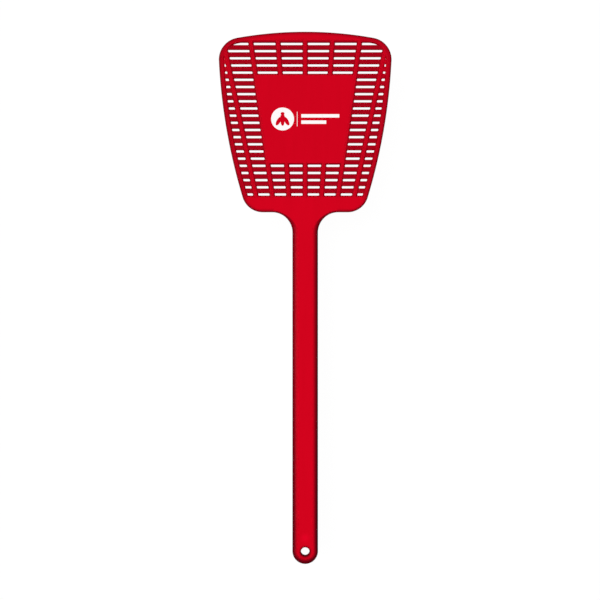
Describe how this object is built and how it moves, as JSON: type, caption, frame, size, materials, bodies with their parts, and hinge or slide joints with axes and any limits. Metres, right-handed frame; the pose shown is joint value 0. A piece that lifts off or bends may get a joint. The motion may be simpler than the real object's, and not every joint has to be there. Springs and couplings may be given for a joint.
{
  "type": "fly swatter",
  "caption": "Moulded plastic fly swatter: a slotted, tapering head with a plain printed panel, on a straight channel-backed handle with a hang hole.",
  "frame": {"origin": "on the surface that the handle's back lies on, halfway along the swatter's length and on its middle line", "axes": "+Y along the swatter from the handle's end to the head's crown, +Z out of the printed front face, +X across the head to the right as the front is looked at with the head up"},
  "size_m": [0.1318, 0.4064, 0.0066],
  "materials": {
    "red_polypropylene": "moulded polypropylene, satin, coloured through",
    "white_ink": "pad-printed white ink, matt"
  },
  "bodies": {
    "handle": {"handle": "red_polypropylene", "neck": "red_polypropylene"},
    "head": {"head": "red_polypropylene", "print_emblem": "white_ink", "print_divider": "white_ink", "print_bar_upper": "white_ink", "print_bar_lower": "white_ink"}
  },
  "joints": [
    {"name": "neck_flex", "type": "hinge", "parent": "handle", "child": "head", "pos_m": [0, 0.05625, 0.0052], "axis": [1, 0, 0], "range_deg": [-20, 20], "stiffness_Nm_per_rad": 1.3, "deforming": ["neck"]}
  ]
}
